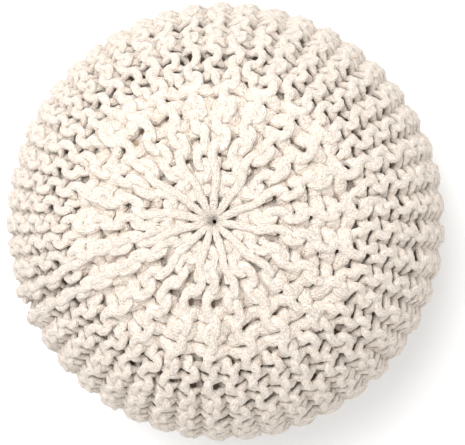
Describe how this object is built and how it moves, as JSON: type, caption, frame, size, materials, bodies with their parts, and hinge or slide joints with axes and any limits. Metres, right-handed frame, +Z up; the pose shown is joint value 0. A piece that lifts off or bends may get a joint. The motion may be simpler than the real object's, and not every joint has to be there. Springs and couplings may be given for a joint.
{
  "type": "knitted pouf",
  "caption": "Round filled floor pouf with a chunky garter-stitch cover whose ridges run from the gathered top centre over the bulging side to a flat underside.",
  "frame": {"origin": "centre of the bounding box's underside, on the surface that the pouf stands on", "axes": "+Z up, from the flat underside through the gathered top centre; the seam runs out from the centre at about 202 degrees from +X towards -X and -Y"},
  "size_m": [0.5, 0.5, 0.35],
  "materials": {
    "cotton_cord": "matt, soft, thick cream cotton cord"
  },
  "bodies": {
    "root": {"knitted_pouf": "cotton_cord"}
  },
  "joints": []
}
